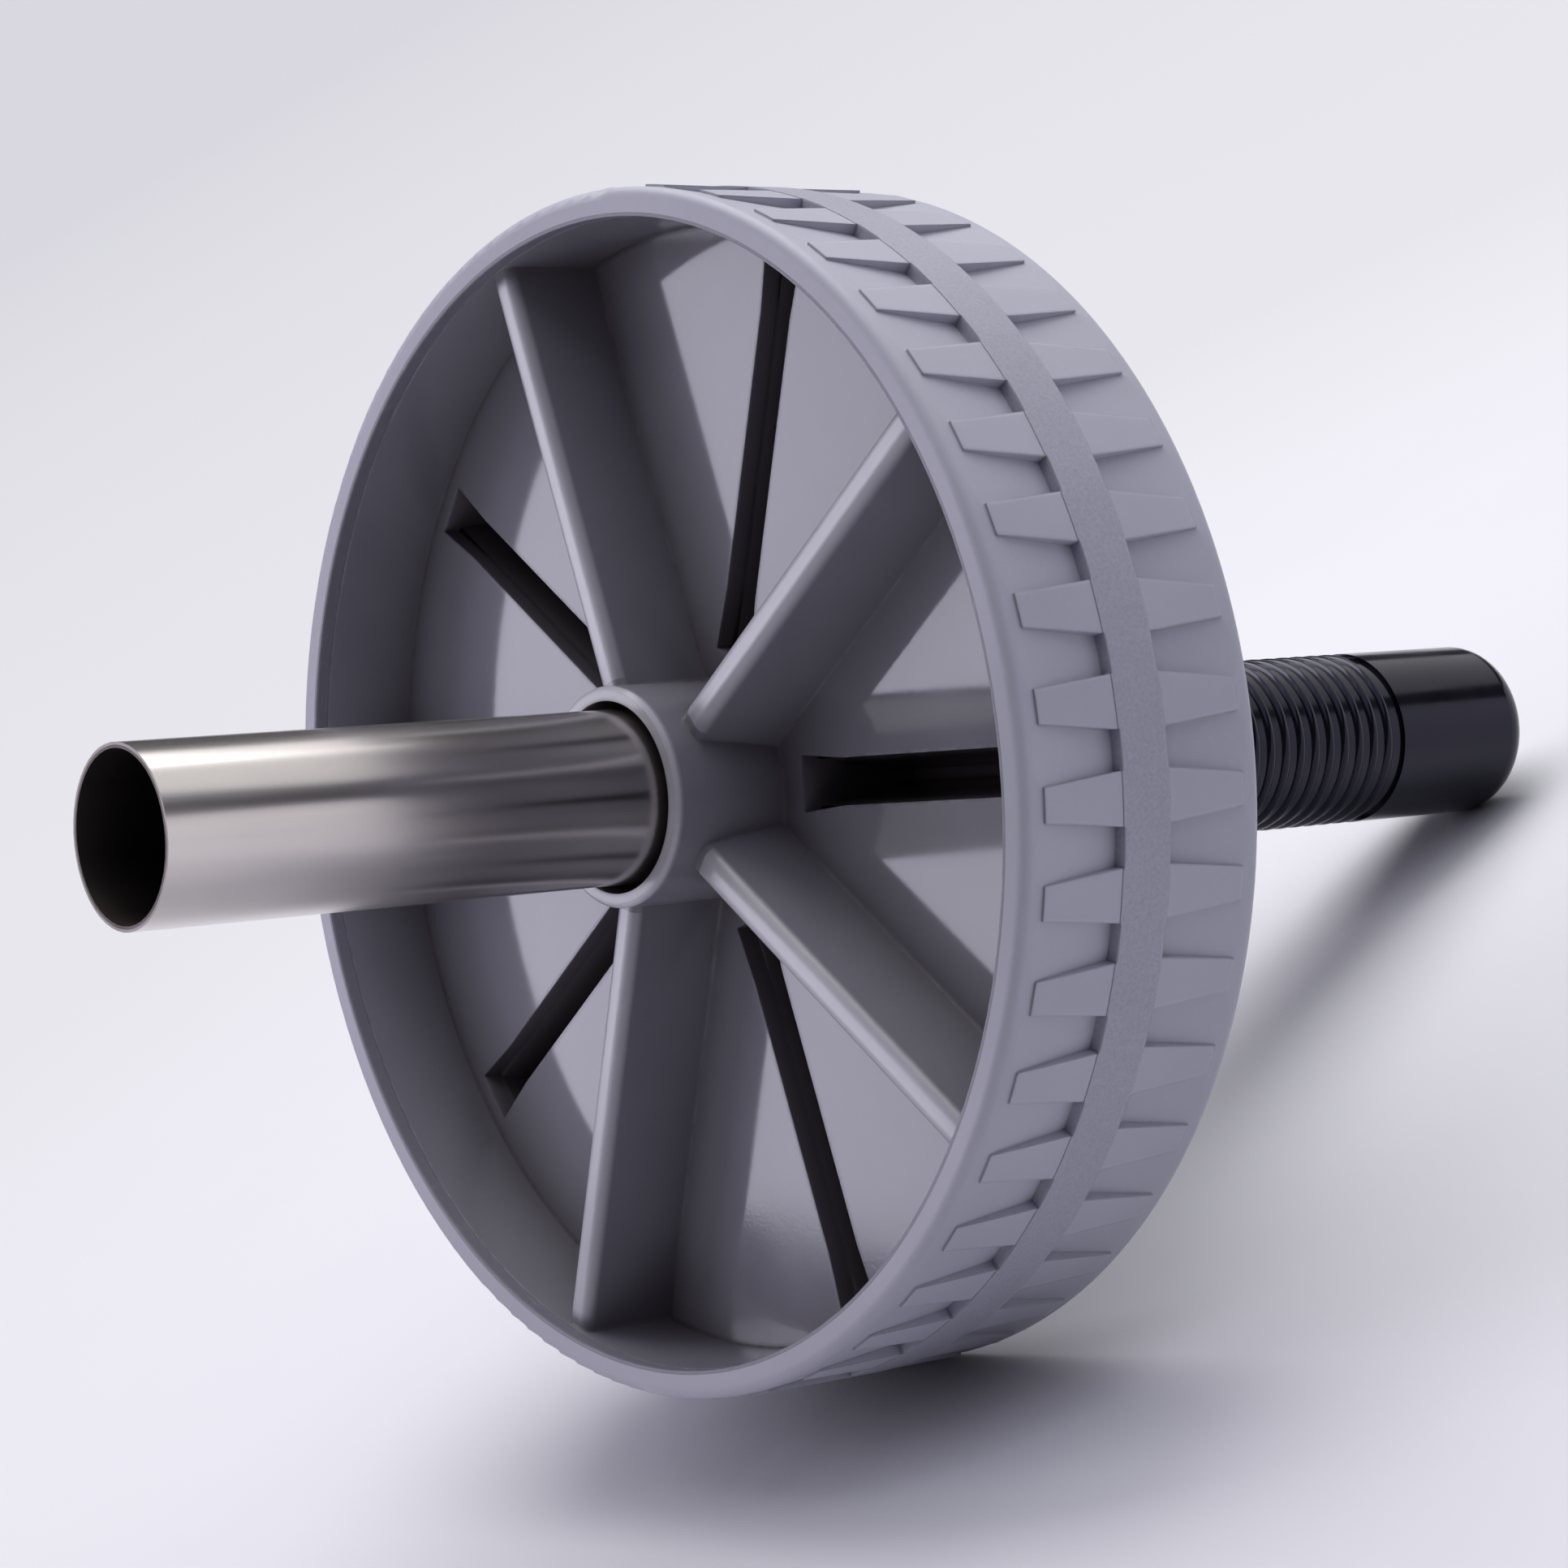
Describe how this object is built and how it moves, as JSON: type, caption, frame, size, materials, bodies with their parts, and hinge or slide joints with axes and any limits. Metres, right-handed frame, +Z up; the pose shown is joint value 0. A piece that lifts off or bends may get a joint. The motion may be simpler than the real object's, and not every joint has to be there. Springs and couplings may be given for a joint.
{
  "type": "ab wheel roller",
  "caption": "Single-wheel ab roller with a lugged tyre on a ribbed moulded wheel, turning on a thin steel tube with a ringed sleeve grip on one end",
  "frame": {"origin": "on the floor, under the middle of the bounding box of the roller as it rests", "axes": "+X along the floor from the bare tube end towards the grip, +Z up, +Y across the wheel; the axle leans down towards +X because the roller rests on the wheel's far shoulder and the grip's end"},
  "size_m": [0.2364, 0.1728, 0.1699],
  "materials": {
    "wheel_plastic": "light grey injection-moulded plastic with a low sheen",
    "tyre_rubber": "mid-grey moulded thermoplastic rubber, matt with a fine grain",
    "tube_steel": "bright drawn and welded steel tube with faint lengthwise drawing lines",
    "grip_gloss": "glossy black dipped sleeve"
  },
  "bodies": {
    "axle": {"axle_tube": "tube_steel"},
    "wheel": {"rim": "wheel_plastic", "web": "wheel_plastic", "hub": "wheel_plastic", "near_ribs": "wheel_plastic", "far_ribs": "wheel_plastic", "tyre": "tyre_rubber"},
    "grip_sleeve": {"grip": "grip_gloss"}
  },
  "joints": [
    {"name": "wheel_spin", "type": "hinge", "parent": "axle", "child": "wheel", "pos_m": [-0.02275, 0, 0.08497], "axis": [0.877, 0, -0.4805], "continuous": true},
    {"name": "grip_pull", "type": "slide", "parent": "axle", "child": "grip_sleeve", "axis": [0.877, 0, -0.4805], "range_m": [0, 0.102]}
  ]
}
